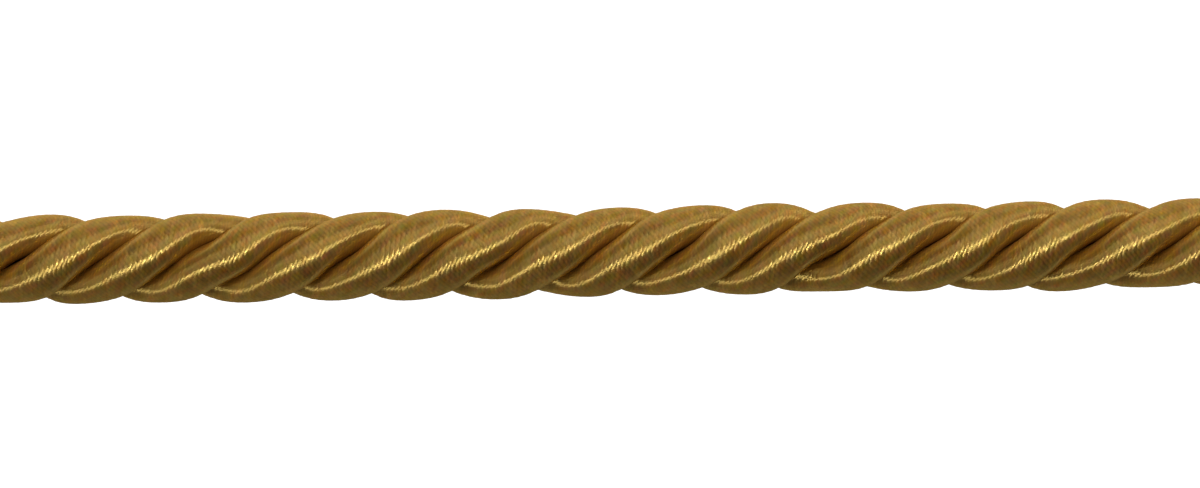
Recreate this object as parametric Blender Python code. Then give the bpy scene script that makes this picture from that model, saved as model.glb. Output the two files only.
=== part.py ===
"""Upholstery cord: a cut length of three-strand twisted satin cord.

Three thick satin-wrapped strands are laid up left-handed (S twist) into one cord.
The cord lies along X on the plane Z = 0 and stands on its underside crowns, which
are pressed flat where they touch. Its cut ends are square. The origin is at the
bottom centre of the bounding box. All sizes are in metres, all angles in radians.
"""

from math import pi, radians, tau

import bpy
import numpy as np

# Driving dimensions of the finished cord
CORD_DIAMETER = 0.0095
LAY_LENGTH = 0.026
LAY_TURNS = 6
STRAND_COUNT = 3

# One strand in a section square to the cord: it is pressed wide against the others
STRAND_CENTRE_RADIUS = 0.00258
STRAND_HALF_WIDTH = 0.00288

# How deep the underside crowns are pressed flat by the surface
FLAT_DEPTH = 0.0002

# Fineness of the mesh
RINGS_PER_TURN = 27
POINTS_PER_STRAND = 10
SHARP_ANGLE = radians(50)

# Satin yarn, in linear colour
SATIN_GOLD = (0.300, 0.165, 0.034, 1.0)
SATIN_ROUGHNESS = 0.42

# Worked out from the above
CORD_RADIUS = CORD_DIAMETER / 2
CORD_LENGTH = LAY_LENGTH * LAY_TURNS
STRAND_HALF_HEIGHT = CORD_RADIUS - STRAND_CENTRE_RADIUS
AXIS_HEIGHT = CORD_RADIUS - FLAT_DEPTH


def remove_all_objects():
    """Empty the scene before the cord is modelled."""
    for old in list(bpy.data.objects):
        bpy.data.objects.remove(old, do_unlink=True)


def satin_material():
    """Return the gold satin that wraps all three strands."""
    material = bpy.data.materials.new("gold_satin")
    material.use_nodes = True
    material.diffuse_color = SATIN_GOLD
    shader = material.node_tree.nodes["Principled BSDF"]
    shader.inputs["Base Color"].default_value = SATIN_GOLD
    shader.inputs["Roughness"].default_value = SATIN_ROUGHNESS
    shader.inputs["Metallic"].default_value = 0.0
    return material


def strand_reach(angle):
    """Return how far from the cord's axis one strand's oval section reaches.

    The angle is measured about the cord's axis from the middle of the strand. The
    reach is the outer crossing of that ray with the oval.
    """
    along = np.cos(angle) / STRAND_HALF_HEIGHT
    across = np.sin(angle) / STRAND_HALF_WIDTH
    offset = STRAND_CENTRE_RADIUS / STRAND_HALF_HEIGHT
    squared = along**2 + across**2
    root = np.sqrt((along * offset) ** 2 - squared * (offset**2 - 1))
    return (along * offset + root) / squared


def cord_section():
    """Return the angles and radii of the section's outline, once around the cord.

    Each strand fills its own third of the circle, from groove to groove, with a
    point in the groove and one on the crown.
    """
    third = tau / STRAND_COUNT
    steps = np.arange(POINTS_PER_STRAND) / POINTS_PER_STRAND
    from_crown = (steps - 0.5) * third
    angles = np.concatenate([from_crown + third * strand for strand in range(STRAND_COUNT)])
    radii = np.tile(strand_reach(from_crown), STRAND_COUNT)
    return angles, radii


def cord_rings():
    """Return the points of every ring, as an array of ring, point and coordinate.

    A left-handed twist carries the section from the top towards +Y as X grows. At
    X = 0 and at both cut ends a crown is at the very bottom.
    """
    angles, radii = cord_section()
    ring_count = RINGS_PER_TURN * LAY_TURNS + 1
    stations = np.linspace(-CORD_LENGTH / 2, CORD_LENGTH / 2, ring_count)
    turned = pi + tau * stations[:, None] / LAY_LENGTH + angles
    points = np.empty((ring_count, len(angles), 3))
    points[..., 0] = stations[:, None]
    points[..., 1] = radii * np.sin(turned)
    points[..., 2] = np.maximum(AXIS_HEIGHT + radii * np.cos(turned), 0.0)
    return points


def cord_faces(ring_count, point_count):
    """Return the faces: quads between neighbouring rings and one face at each cut end."""
    faces = []
    for ring in range(ring_count - 1):
        near = ring * point_count
        far = near + point_count
        for point in range(point_count):
            following = (point + 1) % point_count
            faces.append((near + point, far + point, far + following, near + following))
    last = (ring_count - 1) * point_count
    faces.append(tuple(range(point_count)))
    faces.append(tuple(reversed(range(last, last + point_count))))
    return faces


def build_cord(material):
    """Model the whole cord as one closed solid."""
    points = cord_rings()
    ring_count, point_count = points.shape[:2]
    mesh = bpy.data.meshes.new("cord")
    mesh.from_pydata(points.reshape(-1, 3).tolist(), [], cord_faces(ring_count, point_count))
    mesh.materials.append(material)
    mesh.shade_smooth()
    mesh.set_sharp_from_angle(angle=SHARP_ANGLE)
    cord = bpy.data.objects.new("cord", mesh)
    bpy.context.scene.collection.objects.link(cord)
    return cord


def main():
    """Build the upholstery cord."""
    remove_all_objects()
    build_cord(satin_material())


main()
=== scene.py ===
"""Looks of the upholstery cord: three satin-wrapped strands laid up left-handed.

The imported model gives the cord's box. This script dresses it with the strands as
separate bodies of yarn, the satin yarns that wrap them, their sheen and their cut
ends, and sets up a pale floor, soft light and a camera that looks straight down.
Lengths are in metres and angles in radians. The cord lies along X.
"""

from __future__ import annotations

import logging
from dataclasses import dataclass, field
from enum import Enum
from math import atan, cos, pi, radians, sin, tau

import bpy
import numpy as np
from mathutils import Matrix, Vector

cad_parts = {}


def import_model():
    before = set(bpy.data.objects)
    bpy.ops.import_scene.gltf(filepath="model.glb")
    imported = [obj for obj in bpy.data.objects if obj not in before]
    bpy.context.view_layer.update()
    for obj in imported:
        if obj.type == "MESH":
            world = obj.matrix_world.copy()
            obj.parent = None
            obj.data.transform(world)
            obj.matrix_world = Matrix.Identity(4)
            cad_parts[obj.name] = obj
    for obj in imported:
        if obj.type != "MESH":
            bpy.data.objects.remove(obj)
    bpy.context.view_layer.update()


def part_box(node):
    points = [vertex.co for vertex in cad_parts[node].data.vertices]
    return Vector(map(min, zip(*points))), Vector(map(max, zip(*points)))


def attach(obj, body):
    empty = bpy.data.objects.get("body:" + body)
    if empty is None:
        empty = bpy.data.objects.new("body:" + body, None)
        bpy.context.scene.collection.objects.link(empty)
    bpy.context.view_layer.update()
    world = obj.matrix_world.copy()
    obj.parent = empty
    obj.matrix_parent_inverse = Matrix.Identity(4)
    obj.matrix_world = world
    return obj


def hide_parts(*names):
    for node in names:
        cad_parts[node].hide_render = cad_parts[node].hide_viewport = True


MM = 0.001
WELD = 1e-4 * MM
SAME_ANGLE = 1e-6
SAME_YARN = 1e-4
SPARE_YARNS = 3
SWELL_SEED_STEP = 101
YARN_SEED_STEP = 31
YARNS_PER_STRAND = 1000
LOG = logging.getLogger("upholstery_cord")


class Station(Enum):
    """Where a light stands, as a direction from the cord: right, away and up."""

    KEY = (0.03, -0.15, 0.98)
    SIDE = (0.667, 0.732, 0.139)
    LOW = (-0.880, -0.072, 0.469)
    GLOW = (0.06, 0.55, 0.84)


@dataclass(frozen=True)
class Lay:
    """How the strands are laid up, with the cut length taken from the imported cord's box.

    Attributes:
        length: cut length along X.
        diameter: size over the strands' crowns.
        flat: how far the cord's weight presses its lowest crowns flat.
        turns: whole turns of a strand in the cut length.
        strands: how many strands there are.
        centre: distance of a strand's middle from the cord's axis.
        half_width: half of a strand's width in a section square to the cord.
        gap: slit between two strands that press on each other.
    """

    length: float
    diameter: float = 9.5 * MM
    flat: float = 0.2 * MM
    turns: int = 6
    strands: int = 3
    centre: float = 2.58 * MM
    half_width: float = 2.88 * MM
    gap: float = 0.06 * MM

    @classmethod
    def from_box(cls, low: Vector, high: Vector) -> Lay:
        """Read the cut length from the cord's box.

        Args:
            low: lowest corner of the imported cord.
            high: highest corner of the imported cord.

        Returns:
            The lay of a cord that fills that box.
        """
        return cls(length=high.x - low.x)

    @property
    def axis_height(self) -> float:
        """Return the height of the cord's axis over the surface."""
        return self.diameter / 2 - self.flat

    @property
    def pitch(self) -> float:
        """Return the length along X of one turn of a strand."""
        return self.length / self.turns

    @property
    def slope(self) -> float:
        """Return the angle between a strand's middle line and the cord's axis."""
        return atan(tau * self.centre / self.pitch)

    def turned(self, along: np.ndarray, strand: int) -> np.ndarray:
        """Return a strand's angle about the cord's axis, from the top towards +Y.

        Args:
            along: places along X.
            strand: the strand's number.

        Returns:
            The angle at each place, growing with X for a left-handed lay.
        """
        return pi + tau * along / self.pitch + strand * tau / self.strands

    def reach(self, angle: np.ndarray) -> np.ndarray:
        """Return how far from the cord's axis a strand's oval section reaches.

        The ray at the angle leaves the oval of half height (radius - centre) and half
        width at the larger root of their quadratic.

        Args:
            angle: angles about the cord's axis, from the strand's own middle.

        Returns:
            The distance from the cord's axis at each angle.
        """
        height = self.diameter / 2 - self.centre
        along = np.cos(angle) / height
        across = np.sin(angle) / self.half_width
        offset = self.centre / height
        squared = along**2 + across**2
        root = np.sqrt((along * offset) ** 2 - squared * (offset**2 - 1))
        return (along * offset + root) / squared


@dataclass(frozen=True)
class WrapYarn:
    """The satin yarns wound side by side round each strand.

    Attributes:
        width: width of one yarn along the strand.
        height: how far a yarn's crown stands over the valleys beside it.
        flank_share: share of that height where strands press on each other.
        rings: mesh rings across one yarn.
        spread: how unevenly the yarns' edges lie, as a share of the width.
        slack: how unevenly high the yarns' crowns are, as a share of the height.
        seed: start of the yarns' own random numbers.
    """

    width: float = 0.68 * MM
    height: float = 0.015 * MM
    flank_share: float = 0.3
    rings: int = 4
    spread: float = 0.07
    slack: float = 0.18
    seed: int = 11

    def crown(self, across: np.ndarray) -> np.ndarray:
        """Return a yarn's rounded profile: 0 in its valleys, 1 on its crown.

        It is a parabola over each whole number: one less the square of twice the place
        past the yarn's middle.

        Args:
            across: place across the yarns, one whole number for each yarn.

        Returns:
            The share of the full height.
        """
        return 1 - (2 * (across - np.floor(across)) - 1) ** 2


@dataclass(frozen=True)
class Swell:
    """Slow unevenness of a strand, as a sum of sine waves along it.

    Attributes:
        size: typical size of the wave.
        longest: longest wave.
        shortest: shortest wave.
        count: how many waves are summed.
        seed: start of the random phases.
    """

    size: float
    longest: float = 40 * MM
    shortest: float = 7 * MM
    count: int = 7
    seed: int = 5

    def at(self, along: np.ndarray, strand: int) -> np.ndarray:
        """Return the wave's height at places along a strand.

        Args:
            along: places along the strand.
            strand: the strand's number, which picks its own phases.

        Returns:
            The sum of the waves, of the stated typical size.
        """
        draw = np.random.default_rng(self.seed + SWELL_SEED_STEP * strand)
        lengths = np.geomspace(self.longest, self.shortest, self.count)
        phases = draw.uniform(0, tau, self.count)
        waves = [np.sin(tau * along / length + phase) for length, phase in zip(lengths, phases)]
        return self.size * np.sum(waves, axis=0) / np.sqrt(self.count / 2)


@dataclass
class Surface:
    """Points, triangles and what rides on them, gathered before a mesh is made.

    Attributes:
        points: one row for each point.
        triangles: three point numbers a row.
        corners: texture place of each triangle's three corners.
        groove: depth in the grooves of each point, 0 on a crown and 1 at the bottom.
        crease: whether each point lies where two yarns meet.
        slots: material slot of each triangle.
    """

    points: np.ndarray
    triangles: np.ndarray
    corners: np.ndarray
    groove: np.ndarray
    crease: np.ndarray
    slots: np.ndarray

    def joined(self, other: Surface) -> Surface:
        """Return this surface and another as one."""
        return Surface(
            np.concatenate([self.points, other.points]),
            np.concatenate([self.triangles, other.triangles + len(self.points)]),
            np.concatenate([self.corners, other.corners]),
            np.concatenate([self.groove, other.groove]),
            np.concatenate([self.crease, other.crease]),
            np.concatenate([self.slots, other.slots]),
        )

    def welded(self) -> Surface:
        """Return the surface with equal points merged and flat triangles dropped."""
        grid = np.round(self.points / WELD).astype(np.int64)
        _, first, merged = np.unique(grid, axis=0, return_index=True, return_inverse=True)
        triangles = merged.reshape(-1)[self.triangles]
        a, b, c = triangles.T
        kept = (a != b) & (b != c) & (c != a)
        return Surface(
            self.points[first],
            triangles[kept],
            self.corners[kept],
            self.groove[first],
            self.crease[first],
            self.slots[kept],
        )

    def to_object(self, name: str) -> bpy.types.Object:
        """Put the surface into a smooth-shaded mesh object at the origin.

        Args:
            name: the object's name.

        Returns:
            The new object, linked to the scene.
        """
        mesh = bpy.data.meshes.new(name)
        mesh.vertices.add(len(self.points))
        mesh.vertices.foreach_set("co", self.points.astype(np.float32).ravel())
        count = len(self.triangles)
        mesh.loops.add(3 * count)
        mesh.loops.foreach_set("vertex_index", self.triangles.astype(np.int32).ravel())
        mesh.polygons.add(count)
        mesh.polygons.foreach_set("loop_start", np.arange(0, 3 * count, 3, dtype=np.int32))
        mesh.polygons.foreach_set("material_index", self.slots.astype(np.int32))
        mesh.update(calc_edges=True)
        mesh.shade_smooth()
        ends = np.empty(2 * len(mesh.edges), dtype=np.int32)
        mesh.edges.foreach_get("vertices", ends)
        mesh.edges.foreach_set("use_edge_sharp", self.crease[ends.reshape(-1, 2)].all(axis=1))
        layer = mesh.uv_layers.new(name="wrap")
        layer.uv.foreach_set("vector", self.corners.astype(np.float32).ravel())
        groove = mesh.attributes.new("groove", "FLOAT", "POINT")
        groove.data.foreach_set("value", self.groove.astype(np.float32))
        mesh.validate()
        obj = bpy.data.objects.new(name, mesh)
        bpy.context.scene.collection.objects.link(obj)
        return obj


@dataclass
class TwistedCord:
    """The cord itself: three wrapped strands as one mesh.

    Attributes:
        lay: how the strands are laid up.
        yarn: the yarns that wrap the strands.
        swell: slow changes of a strand's thickness.
        wander: slow changes of a strand's place, as an angle.
        outer_columns: points across the outside of a strand.
        flank_shares: where the points of a flank lie, as shares of the groove's radius.
        core_share: where the innermost point lies, as such a share.
        flank_edge: angle beside a flank in which a point still counts as the flank's.
        fine_steps: points by which an outline's own length is measured.
        axis_points: points along the cord's axis; not used.
        cap_rings: rings from a cut end's rim to its middle.
        dome: how far the middle of a cut end stands out.
    """

    lay: Lay
    yarn: WrapYarn = field(default_factory=WrapYarn)
    swell: Swell = field(default_factory=lambda: Swell(size=0.11 * MM))
    wander: Swell = field(default_factory=lambda: Swell(size=radians(2.6), seed=23))
    outer_columns: int = 17
    flank_shares: tuple[float, ...] = (0.35, 0.86)
    core_share: float = 0.12
    flank_edge: float = 0.05
    fine_steps: int = 721
    axis_points: int = 40
    cap_rings: int = 5
    dome: float = 0.25 * MM

    def section(self) -> tuple[np.ndarray, np.ndarray]:
        """Return a strand's outline in polar places about the cord's axis.

        The outline starts near the axis, climbs one flank, crosses the outside at even
        steps of its own length and goes down the other flank.

        Returns:
            The angles from the strand's middle and the radii of the outline's points.
        """
        lay = self.lay
        half = pi / lay.strands
        fine = np.linspace(-half, half, self.fine_steps)
        radii = lay.reach(fine)
        steps = np.hypot(np.diff(radii), radii[1:] * np.diff(fine))
        walked = np.concatenate([[0.0], np.cumsum(steps)])
        even = np.interp(np.linspace(0, walked[-1], self.outer_columns), walked, fine)
        groove = float(lay.reach(np.array([half]))[0])
        up = groove * np.array(self.flank_shares)
        flank = half * np.ones(len(up))
        angles = np.concatenate([[0.0], -flank, even, flank])
        radii = np.concatenate([[self.core_share * groove], up, lay.reach(even), up[::-1]])
        slit = lay.gap / 2 / radii
        edge = np.abs(angles) > half - SAME_ANGLE
        angles = np.where(edge, np.sign(angles) * (half - slit), angles)
        return angles, radii

    def valleys(self, strand: int, low: float, high: float) -> np.ndarray:
        """Return where the yarns of a strand meet, unevenly spaced along it."""
        step = self.yarn.width * cos(self.lay.slope)
        count = int(np.ceil((high - low) / step)) + SPARE_YARNS
        draw = np.random.default_rng(self.yarn.seed + strand)
        return low + step * (np.arange(count) - 1 + draw.normal(0, self.yarn.spread, count))

    def strand(self, number: int) -> Surface:
        """Build one strand as a closed tube with a domed face at each cut end.

        A ring of the tube is square to the strand: its place along X is s minus the
        offset across the strand times sine and cosine of the strand's slope. Points past
        a cut end are drawn back onto it, so they fall together and are merged later.

        Args:
            number: the strand's number.

        Returns:
            The strand's surface.
        """
        lay, yarn = self.lay, self.yarn
        draw = np.random.default_rng(yarn.seed + YARN_SEED_STEP * number)
        angles, radii = self.section()
        offset = radii * np.sin(angles)
        shift = offset * sin(lay.slope) * cos(lay.slope)
        reach = lay.length / 2 + np.abs(shift).max()
        edges = self.valleys(number, -reach, reach)
        ticks = np.arange(0, len(edges) - 1, 1 / yarn.rings)
        rings = np.interp(ticks, np.arange(len(edges)), edges)
        rings = rings[(rings > -reach - yarn.width) & (rings < reach + yarn.width)]
        along = np.clip(rings[:, None] - shift, -lay.length / 2, lay.length / 2)
        place = along + shift
        across = np.interp(place, edges, np.arange(len(edges)))
        outline = np.stack([radii * np.cos(angles), offset], -1)
        facing = np.roll(outline, -1, axis=0) - np.roll(outline, 1, axis=0)
        normal = np.stack([facing[:, 1], -facing[:, 0]], -1)
        normal /= np.linalg.norm(normal, axis=1)[:, None]
        outer = np.abs(angles) < pi / lay.strands - self.flank_edge
        share = np.where(outer, 1.0, yarn.flank_share)
        firm = 1 + yarn.slack * draw.normal(size=len(edges))[np.floor(across).astype(int)]
        rise = yarn.height * (firm * yarn.crown(across) - 1.0) * share
        rise = rise + self.swell.at(place, number) * outer
        height = outline[:, 0] + rise * normal[:, 0]
        side = outline[:, 1] + rise * normal[:, 1]
        angle = lay.turned(along, number) + np.arctan2(side, height)
        angle = angle + self.wander.at(place, 0)
        radius = np.hypot(height, side)
        y = radius * np.sin(angle)
        z = np.maximum(lay.axis_height + radius * np.cos(angle), 0.0)
        grid = np.stack([along, y, z], -1)
        closed = np.concatenate([outline, outline[:1]])
        walk = np.concatenate([[0.0], np.cumsum(np.linalg.norm(np.diff(closed, axis=0), axis=1))])
        bottom = lay.reach(np.array([pi / lay.strands]))[0]
        groove = np.clip((radii.max() - radius) / (radii.max() - bottom), 0, 1)
        crease = np.abs(across - np.round(across)) < SAME_YARN
        return self.tube(grid, across + YARNS_PER_STRAND * number, walk / MM, groove, crease)

    def tube(
        self,
        grid: np.ndarray,
        across: np.ndarray,
        walk: np.ndarray,
        groove: np.ndarray,
        crease: np.ndarray,
    ) -> Surface:
        """Join a grid of rings into a closed tube with a face at each end.

        Args:
            grid: points by ring and column.
            across: yarn count at each point of the grid.
            walk: distance round the outline at each column, with the closing one.
            groove: depth in the groove at each point of the grid.
            crease: whether each point of the grid lies where two yarns meet.

        Returns:
            The closed surface.
        """
        rings, columns = grid.shape[:2]
        caps = [self.cap(grid[0], -1.0), self.cap(grid[-1], 1.0)]
        points = np.concatenate([caps[0][::-1], grid, caps[1]]).reshape(-1, 3)
        capped = self.cap_rings
        total = rings + 2 * capped
        ring = np.arange(total - 1)[:, None]
        column = np.arange(columns)[None, :]
        following = (column + 1) % columns
        a = ring * columns + column
        b = ring * columns + following
        c = (ring + 1) * columns + following
        d = (ring + 1) * columns + column
        triangles = np.stack([np.stack([a, c, b], -1), np.stack([a, d, c], -1)], 2).reshape(-1, 3)
        first, last = np.repeat(across[:1], capped, 0), np.repeat(across[-1:], capped, 0)
        yarns = np.concatenate([first, across, last])
        place = np.stack([yarns, np.broadcast_to(walk[:-1], yarns.shape)], -1)
        after = np.stack([np.roll(yarns, -1, axis=1), np.broadcast_to(walk[1:], yarns.shape)], -1)
        pa, pb, pc, pd = place[:-1], after[:-1], after[1:], place[1:]
        corners = np.stack([np.stack([pa, pc, pb], 2), np.stack([pa, pd, pc], 2)], 2).reshape(-1, 3, 2)
        depth = np.concatenate([np.ones((capped, columns)), groove, np.ones((capped, columns))])
        bare = np.zeros((capped, columns), dtype=bool)
        crease = np.concatenate([bare, crease, bare]).reshape(-1)
        is_cap = (ring < capped) | (ring >= total - 1 - capped)
        slots = np.repeat(np.broadcast_to(is_cap, a.shape).astype(int), 2, axis=1).reshape(-1)
        return Surface(points, triangles, corners, depth.reshape(-1), crease, slots)

    def cap(self, rim: np.ndarray, way: float) -> np.ndarray:
        """Return the rings of a cut end's face, from its rim to its middle.

        Each ring is the rim drawn towards its middle, pushed out along X by a quarter
        ellipse, so that the face is a low dome.

        Args:
            rim: the last ring of the strand.
            way: direction along X in which the face looks.

        Returns:
            The rings, the last of them a single point.
        """
        middle = rim.mean(axis=0)
        shares = 1 - (np.arange(self.cap_rings) + 1) / self.cap_rings
        rings = middle + (rim - middle) * shares[:, None, None]
        rings[..., 0] = rim[:, 0] + way * self.dome * np.sqrt(1 - shares[:, None] ** 2)
        return rings

    def build(self, satin: bpy.types.Material, cut: bpy.types.Material) -> bpy.types.Object:
        """Args:
            satin: finish of the wrapping yarns.
            cut: finish of the cut ends.

        Returns:
            The cord's object.
        """
        whole = self.strand(0)
        for number in range(1, self.lay.strands):
            whole = whole.joined(self.strand(number))
        cord = whole.welded().to_object("satin_cord")
        cord.data.materials.append(satin)
        cord.data.materials.append(cut)
        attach(cord, "root")
        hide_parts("cord")
        LOG.info("%s: %d triangles", cord.name, len(cord.data.polygons))
        return cord


class Nodes:
    """Short calls that add and link the nodes of one tree."""

    MIX_INPUTS = (0, 6, 7)
    MIX_OUTPUT = 2

    def __init__(self, tree: bpy.types.NodeTree) -> None:
        """Keep the tree that the nodes go into."""
        self.tree = tree

    def add(self, kind: str, **values: object) -> bpy.types.Node:
        """Add a node and set its properties.

        Args:
            kind: the node's type.
            **values: properties of the node by name.

        Returns:
            The node.
        """
        node = self.tree.nodes.new(kind)
        for name, value in values.items():
            setattr(node, name, value)
        return node

    def link(self, source: bpy.types.NodeSocket, target: bpy.types.NodeSocket) -> None:
        """Join an output to an input."""
        self.tree.links.new(source, target)

    def math(self, operation: str, *inputs: object) -> bpy.types.NodeSocket:
        """Add a Math node.

        Args:
            operation: what it works out.
            *inputs: numbers or sockets, in order.

        Returns:
            The node's output.
        """
        node = self.add("ShaderNodeMath", operation=operation)
        for slot, value in enumerate(inputs):
            self.feed(node.inputs[slot], value)
        return node.outputs[0]

    def feed(self, target: bpy.types.NodeSocket, value: object) -> None:
        """Set an input to a plain value, or link a socket to it."""
        if isinstance(value, bpy.types.NodeSocket):
            self.link(value, target)
        else:
            target.default_value = value

    def mix(self, factor: object, first: object, second: object) -> bpy.types.NodeSocket:
        """Add a colour Mix node and return its colour."""
        node = self.add("ShaderNodeMix", data_type="RGBA")
        for slot, value in zip(self.MIX_INPUTS, (factor, first, second)):
            self.feed(node.inputs[slot], value)
        return node.outputs[self.MIX_OUTPUT]

    def times(self, first: bpy.types.NodeSocket, second: bpy.types.NodeSocket) -> bpy.types.NodeSocket:
        """Multiply two colours, or a colour by a number, and return the product."""
        node = self.add("ShaderNodeVectorMath", operation="MULTIPLY")
        self.feed(node.inputs[0], first)
        self.feed(node.inputs[1], second)
        return node.outputs[0]

    def vector(self, *parts: bpy.types.NodeSocket) -> bpy.types.NodeSocket:
        """Join up to three numbers into a vector and return it."""
        node = self.add("ShaderNodeCombineXYZ")
        for slot, part in enumerate(parts):
            self.feed(node.inputs[slot], part)
        return node.outputs[0]

    def noise(self, place: bpy.types.NodeSocket, kind: str, detail: float) -> bpy.types.Node:
        """Add a Noise Texture of unit scale read at a place, and return it."""
        node = self.add("ShaderNodeTexNoise", noise_dimensions=kind)
        node.inputs["Scale"].default_value = 1.0
        node.inputs["Detail"].default_value = detail
        self.link(place, node.inputs["Vector"])
        return node

    def bump(
        self,
        height: bpy.types.NodeSocket,
        depth: float,
        under: bpy.types.NodeSocket | None = None,
    ) -> bpy.types.NodeSocket:
        """Add a Bump node of full strength.

        Args:
            height: the relief, as a multiple of the depth.
            depth: the height in metres of a relief of 1.
            under: normal of a relief that this one lies on.

        Returns:
            The bumped normal.
        """
        node = self.add("ShaderNodeBump")
        node.inputs["Strength"].default_value = 1.0
        node.inputs["Distance"].default_value = depth
        self.link(height, node.inputs["Height"])
        if under is not None:
            self.link(under, node.inputs["Normal"])
        return node.outputs[0]


@dataclass(frozen=True)
class YarnPattern:
    """The pattern of the wrapping yarns, as masks and numbers for a finish.

    Attributes:
        streak: changes of a filament's noise for each millimetre round the strand.
        apart: how far apart the noises of two neighbouring yarns lie.
        patch: changes of the mottling for each yarn and each millimetre.
        detail: finer layers of both noises.
        threads: fine threads that lie side by side in one yarn.
        steepness: how narrow the valley between two threads is.
        softest: height of the lowest ply.
        firmness: how much higher than that the highest ply is.
    """

    streak: float = 0.6
    apart: float = 7.3
    patch: tuple[float, float] = (0.6, 1.0)
    detail: float = 2.0
    threads: float = 2.0
    steepness: float = 2.0
    softest: float = 0.4
    firmness: float = 1.2

    def group(self) -> bpy.types.NodeTree:
        """Build the node group that tells yarns, their plies and filaments apart.

        Its input Wrap is the wrap map: the yarn count along the strand and the distance
        in millimetres round it. Filaments is their number across a yarn, and Twist and
        Slant are the yarns that a filament and a ply cross for each millimetre. It puts
        out a Shade for each yarn, the mask of the Valley between threads, the height of the
        Filament and of the ply's Strand, and a slow Cloud for red, green and blue.

        Returns:
            The node group.
        """
        tree = bpy.data.node_groups.new("wrapped_yarn", "ShaderNodeTree")
        tree.interface.new_socket("Wrap", in_out="INPUT", socket_type="NodeSocketVector")
        for name in ("Filaments", "Twist", "Slant"):
            tree.interface.new_socket(name, in_out="INPUT", socket_type="NodeSocketFloat")
        for name in ("Shade", "Valley", "Filament", "Strand"):
            tree.interface.new_socket(name, in_out="OUTPUT", socket_type="NodeSocketFloat")
        tree.interface.new_socket("Cloud", in_out="OUTPUT", socket_type="NodeSocketColor")
        make = Nodes(tree)
        source = make.add("NodeGroupInput")
        result = make.add("NodeGroupOutput")
        parts = make.add("ShaderNodeSeparateXYZ")
        make.link(source.outputs["Wrap"], parts.inputs[0])
        yarn, walk = parts.outputs[0], parts.outputs[1]
        whole = make.math("FLOOR", yarn)
        shade = make.add("ShaderNodeTexWhiteNoise", noise_dimensions="1D")
        make.link(whole, shade.inputs["W"])
        make.link(shade.outputs["Value"], result.inputs["Shade"])
        leaning = make.math("MULTIPLY_ADD", walk, source.outputs["Twist"], yarn)
        streaks = make.vector(
            make.math("MULTIPLY", leaning, source.outputs["Filaments"]),
            make.math("MULTIPLY", walk, self.streak),
            make.math("MULTIPLY", whole, self.apart),
        )
        make.link(make.noise(streaks, "3D", self.detail).outputs["Fac"], result.inputs["Filament"])
        along, around = self.patch
        patches = make.vector(make.math("MULTIPLY", yarn, along), make.math("MULTIPLY", walk, around))
        make.link(make.noise(patches, "2D", self.detail).outputs["Color"], result.inputs["Cloud"])
        thread = make.math("FRACT", make.math("MULTIPLY", yarn, self.threads))
        aside = make.math("ABSOLUTE", make.math("MULTIPLY_ADD", thread, 2.0, -1.0))
        make.link(make.math("POWER", aside, self.steepness), result.inputs["Valley"])
        slanted = make.math("MULTIPLY_ADD", walk, source.outputs["Slant"], yarn)
        ridge = make.math("MULTIPLY_ADD", make.math("FRACT", slanted), 2.0, -1.0)
        crown = make.math("SUBTRACT", 1.0, make.math("MULTIPLY", ridge, ridge))
        own = make.add("ShaderNodeTexWhiteNoise", noise_dimensions="2D")
        make.link(make.vector(make.math("FLOOR", slanted), whole), own.inputs["Vector"])
        firm = make.math("MULTIPLY_ADD", own.outputs["Value"], self.firmness, self.softest)
        make.link(make.math("MULTIPLY", crown, firm), result.inputs["Strand"])
        return tree


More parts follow.
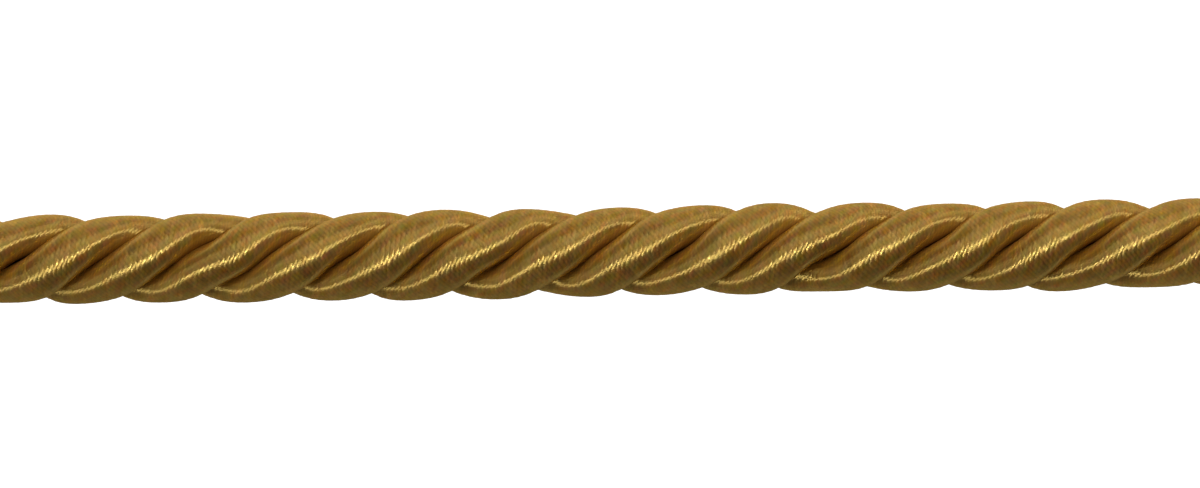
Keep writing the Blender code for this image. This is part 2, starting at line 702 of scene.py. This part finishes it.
@dataclass(frozen=True)
class SatinFinish:
    """Gold satin yarn: a line of sheen along each strand, with painted shade darkening the grooves.

    Attributes:
        light: colour of the paler yarns.
        deep: colour of the darker yarns.
        groove: colour of the painted shade down in the grooves.
        mottle: how strongly red, green and blue change from patch to patch.
        own_shade: share of a yarn's tone that is its own, the rest being its filaments'.
        shadow: painted shade, how much darker the valleys between threads are.
        lift: how bright a thread's middle is beside the plain colour.
        ply_crown_highlight: painted highlight, how much paler the crown of a ply of height 1 is.
        groove_shade_pooling: how closely the painted shade keeps to the bottom of the grooves.
        sleek: roughness of the sleekest filaments.
        rough: roughness of the most ruffled filaments.
        ruffle: filament heights at which the yarn turns from sleek to rough.
        filaments: filaments across one yarn.
        twist: yarns that a filament crosses for each millimetre round the strand.
        relief: height of the filaments.
        slant: yarns that a ply crosses for each millimetre round the strand.
        ply: height of a ply.
        shine: refractive index, which sets how strong the sheen is.
        gilt: colour of the sheen.
    """

    light: tuple[float, float, float, float] = (0.252, 0.121, 0.0218, 1.0)
    deep: tuple[float, float, float, float] = (0.102, 0.049, 0.0087, 1.0)
    groove: tuple[float, float, float, float] = (0.148, 0.062, 0.0082, 1.0)
    mottle: tuple[float, float, float] = (1.0, 1.0, 2.4)
    own_shade: float = 0.3
    shadow: float = 0.5
    lift: float = 1.0
    ply_crown_highlight: float = 0.22
    groove_shade_pooling: float = 1.5
    sleek: float = 0.32
    rough: float = 0.48
    ruffle: tuple[float, float] = (0.34, 0.54)
    filaments: float = 3.5
    twist: float = -0.55
    relief: float = 0.002 * MM
    slant: float = -1.0
    ply: float = 0.009 * MM
    shine: float = 2.6
    gilt: tuple[float, float, float, float] = (1.0, 0.71, 0.19, 1.0)

    def material(self, group: bpy.types.NodeTree) -> bpy.types.Material:
        """Make the finish's material.

        Args:
            group: the node group of wrapped yarns.

        Returns:
            The material.
        """
        material = bpy.data.materials.new("gold_satin")
        material.use_nodes = True
        make = Nodes(material.node_tree)
        shader = material.node_tree.nodes["Principled BSDF"]
        wrap = make.add("ShaderNodeUVMap", uv_map="wrap")
        yarn = make.add("ShaderNodeGroup", node_tree=group)
        make.link(wrap.outputs[0], yarn.inputs["Wrap"])
        yarn.inputs["Filaments"].default_value = self.filaments
        yarn.inputs["Twist"].default_value = self.twist
        yarn.inputs["Slant"].default_value = self.slant
        shade = make.math("MULTIPLY", yarn.outputs["Shade"], self.own_shade)
        tone = make.math("MULTIPLY_ADD", yarn.outputs["Filament"], 1 - self.own_shade, shade)
        tinge = make.add("ShaderNodeVectorMath", operation="MULTIPLY_ADD")
        make.link(yarn.outputs["Cloud"], tinge.inputs[0])
        tinge.inputs[1].default_value = self.mottle
        tinge.inputs[2].default_value = tuple(1 - swing / 2 for swing in self.mottle)
        colour = make.times(make.mix(tone, self.deep, self.light), tinge.outputs[0])
        depth = make.add("ShaderNodeAttribute", attribute_name="groove")
        # Painted shade: the deeper in a groove, the more the colour turns towards the groove colour.
        groove_shade = make.math("POWER", depth.outputs["Fac"], self.groove_shade_pooling)
        # Painted shade in the valleys between threads, which also draws the fine thread lines.
        thread = make.math("MULTIPLY_ADD", yarn.outputs["Valley"], -self.shadow, self.lift)
        # Painted highlight: the crowns of the plies are made paler, to pick out the strokes of the
        # sheen.
        bright = make.math("MULTIPLY_ADD", yarn.outputs["Strand"], self.ply_crown_highlight, thread)
        shaded = make.times(make.mix(groove_shade, colour, self.groove), bright)
        make.link(shaded, shader.inputs["Base Color"])
        fine = make.bump(yarn.outputs["Filament"], self.relief)
        make.link(make.bump(yarn.outputs["Strand"], self.ply, fine), shader.inputs["Normal"])
        tangent = make.add("ShaderNodeTangent", direction_type="UV_MAP", uv_map="wrap")
        make.link(tangent.outputs[0], shader.inputs["Tangent"])
        gloss = make.add("ShaderNodeMapRange", interpolation_type="SMOOTHSTEP")
        make.link(yarn.outputs["Filament"], gloss.inputs["Value"])
        gloss.inputs["From Min"].default_value = self.ruffle[0]
        gloss.inputs["From Max"].default_value = self.ruffle[1]
        gloss.inputs["To Min"].default_value = self.sleek
        gloss.inputs["To Max"].default_value = self.rough
        make.link(gloss.outputs[0], shader.inputs["Roughness"])
        shader.inputs["Anisotropic"].default_value = 1.0
        shader.inputs["IOR"].default_value = self.shine
        shader.inputs["Specular IOR Level"].default_value = 1.0
        shader.inputs["Specular Tint"].default_value = self.gilt
        return material


@dataclass(frozen=True)
class CutFinish:
    """Cut ends: the same yarn seen end on, matt and fibrous.

    Attributes:
        light: colour of the filaments' cut faces.
        dark: colour between them.
        roughness: roughness of the whole face.
        grain: scale of the filaments' pattern.
        detail: finer layers of that pattern.
        relief: height of the filaments.
    """

    light: tuple[float, float, float, float] = (0.36, 0.21, 0.055, 1.0)
    dark: tuple[float, float, float, float] = (0.12, 0.06, 0.012, 1.0)
    roughness: float = 0.85
    grain: float = 9000.0
    detail: float = 3.0
    relief: float = 0.08 * MM

    def material(self) -> bpy.types.Material:
        """Make the finish's material."""
        material = bpy.data.materials.new("cut_yarn")
        material.use_nodes = True
        make = Nodes(material.node_tree)
        shader = material.node_tree.nodes["Principled BSDF"]
        place = make.add("ShaderNodeTexCoord")
        noise = make.add("ShaderNodeTexNoise")
        noise.inputs["Scale"].default_value = self.grain
        noise.inputs["Detail"].default_value = self.detail
        make.link(place.outputs["Object"], noise.inputs["Vector"])
        make.link(make.mix(noise.outputs["Fac"], self.dark, self.light), shader.inputs["Base Color"])
        bump = make.add("ShaderNodeBump")
        bump.inputs["Distance"].default_value = self.relief
        make.link(noise.outputs["Fac"], bump.inputs["Height"])
        make.link(bump.outputs[0], shader.inputs["Normal"])
        shader.inputs["Roughness"].default_value = self.roughness
        return material


@dataclass(frozen=True)
class Lamp:
    """A round soft light that faces the cord.

    Attributes:
        station: where it stands.
        size: its width.
        power: its power in watts.
        mirrored: whether the satin mirrors it.
    """

    station: Station
    size: float
    power: float
    mirrored: bool = True


@dataclass
class Studio:
    """Pale floor, soft light and the camera that looks straight down.

    Attributes:
        lay: how the cord is laid up.
        lamps: the lights.
        distance: how far every light is from the cord.
        room: strength of the even light from all round.
        floor_size: width of the floor.
        floor_grey: how much of the light the floor throws back.
        floor_roughness: roughness of the floor.
        bounce: brightness of the floor behind the cord where the satin mirrors it.
        fade: distance over which that brightness comes up.
        lens: focal length in millimetres.
        sensor: sensor width in millimetres.
        view_width: width that the camera takes in at the cord's axis.
        off_centre: where the camera stands from the cord's middle, along it and across.
        roll: turn of the camera about its own view line.
        clip: nearest and furthest places that the camera shows.
    """

    lay: Lay
    lamps: tuple[Lamp, ...] = (
        Lamp(Station.KEY, 0.16, 7.6),
        Lamp(Station.SIDE, 0.8, 54.0, mirrored=False),
        Lamp(Station.LOW, 0.8, 19.0, mirrored=False),
        Lamp(Station.GLOW, 1.0, 3.6),
    )
    distance: float = 1.5
    room: float = 0.013
    floor_size: float = 3.0
    floor_grey: float = 0.42
    floor_roughness: float = 0.9
    bounce: float = 0.25
    fade: float = 4 * MM
    lens: float = 120.0
    sensor: float = 36.0
    view_width: float = 127.1 * MM
    off_centre: tuple[float, float] = (0.43 * MM, 0.84 * MM)
    roll: float = radians(0.794)
    clip: tuple[float, float] = (0.01, 10.0)

    def floor(self) -> None:
        """Lay the white floor on which the cord rests."""
        half = self.floor_size / 2
        mesh = bpy.data.meshes.new("floor")
        corners = [(-half, -half, 0), (half, -half, 0), (half, half, 0), (-half, half, 0)]
        mesh.from_pydata(corners, [], [(0, 1, 2, 3)])
        floor = bpy.data.objects.new("floor", mesh)
        bpy.context.scene.collection.objects.link(floor)
        mesh.materials.append(self.floor_finish())

    def floor_finish(self) -> bpy.types.Material:
        """Make the floor's material: plain white to look at, dim as a reflector.

        Its brightness is 1 for what the camera sees. What the satin mirrors is dark in
        front of the cord and comes up to the bounce behind it.

        Returns:
            The material.
        """
        material = bpy.data.materials.new("floor_white")
        material.use_nodes = True
        shader = material.node_tree.nodes["Principled BSDF"]
        grey = self.floor_grey
        shader.inputs["Base Color"].default_value = (grey, grey, grey, 1.0)
        shader.inputs["Roughness"].default_value = self.floor_roughness
        shader.inputs["Specular IOR Level"].default_value = 0.0
        shader.inputs["Emission Color"].default_value = (1.0, 1.0, 1.0, 1.0)
        make = Nodes(material.node_tree)
        path = make.add("ShaderNodeLightPath")
        place = make.add("ShaderNodeTexCoord")
        parts = make.add("ShaderNodeSeparateXYZ")
        make.link(place.outputs["Object"], parts.inputs[0])
        lit = make.add("ShaderNodeMapRange")
        make.link(parts.outputs["Y"], lit.inputs["Value"])
        lit.inputs["From Max"].default_value = self.fade
        lit.inputs["To Max"].default_value = self.bounce
        mirrored = make.math("MULTIPLY", lit.outputs[0], path.outputs["Is Glossy Ray"])
        bright = make.math("MAXIMUM", mirrored, path.outputs["Is Camera Ray"])
        make.link(bright, shader.inputs["Emission Strength"])
        return material

    def light(self, lamp: Lamp) -> None:
        """Hang a light so that it faces the cord.

        Args:
            lamp: the light.
        """
        data = bpy.data.lights.new(lamp.station.name.lower() + "_light", "AREA")
        data.shape = "DISK"
        data.size = lamp.size
        data.energy = lamp.power
        obj = bpy.data.objects.new(data.name, data)
        way = Vector(lamp.station.value).normalized()
        obj.location = way * self.distance
        obj.rotation_mode = "QUATERNION"
        obj.rotation_quaternion = way.to_track_quat("Z", "Y")
        obj.visible_glossy = lamp.mirrored
        bpy.context.scene.collection.objects.link(obj)

    def surroundings(self) -> None:
        """Surround the scene with even white light."""
        world = bpy.data.worlds.new("white_room")
        world.use_nodes = True
        back = world.node_tree.nodes["Background"]
        back.inputs["Color"].default_value = (1.0, 1.0, 1.0, 1.0)
        back.inputs["Strength"].default_value = self.room
        bpy.context.scene.world = world

    def camera(self) -> None:
        """Set the camera over the cord, looking straight down with a long lens."""
        data = bpy.data.cameras.new("camera")
        data.lens = self.lens
        data.sensor_width = self.sensor
        height = self.view_width * self.lens / self.sensor
        data.clip_start, data.clip_end = self.clip
        camera = bpy.data.objects.new("camera", data)
        turn = Matrix.Rotation(-self.roll, 4, "Z")
        along, up = self.off_centre
        centre = Vector((along, 0, 0)) + turn @ Vector((0, up, 0))
        above = centre + Vector((0, 0, self.lay.axis_height + height))
        camera.matrix_world = Matrix.Translation(above) @ turn
        bpy.context.scene.collection.objects.link(camera)
        bpy.context.scene.camera = camera

    def build(self) -> None:
        """Set up the whole studio."""
        self.floor()
        for lamp in self.lamps:
            self.light(lamp)
        self.surroundings()
        self.camera()
        settings = bpy.context.scene.view_settings
        settings.view_transform = "Standard"
        settings.look = "None"


def main() -> None:
    """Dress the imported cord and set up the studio."""
    logging.basicConfig(level=logging.INFO, format="%(name)s: %(message)s")
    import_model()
    lay = Lay.from_box(*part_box("cord"))
    Studio(lay).build()
    satin = SatinFinish().material(YarnPattern().group())
    TwistedCord(lay).build(satin, CutFinish().material())


if __name__ == "__main__":
    main()
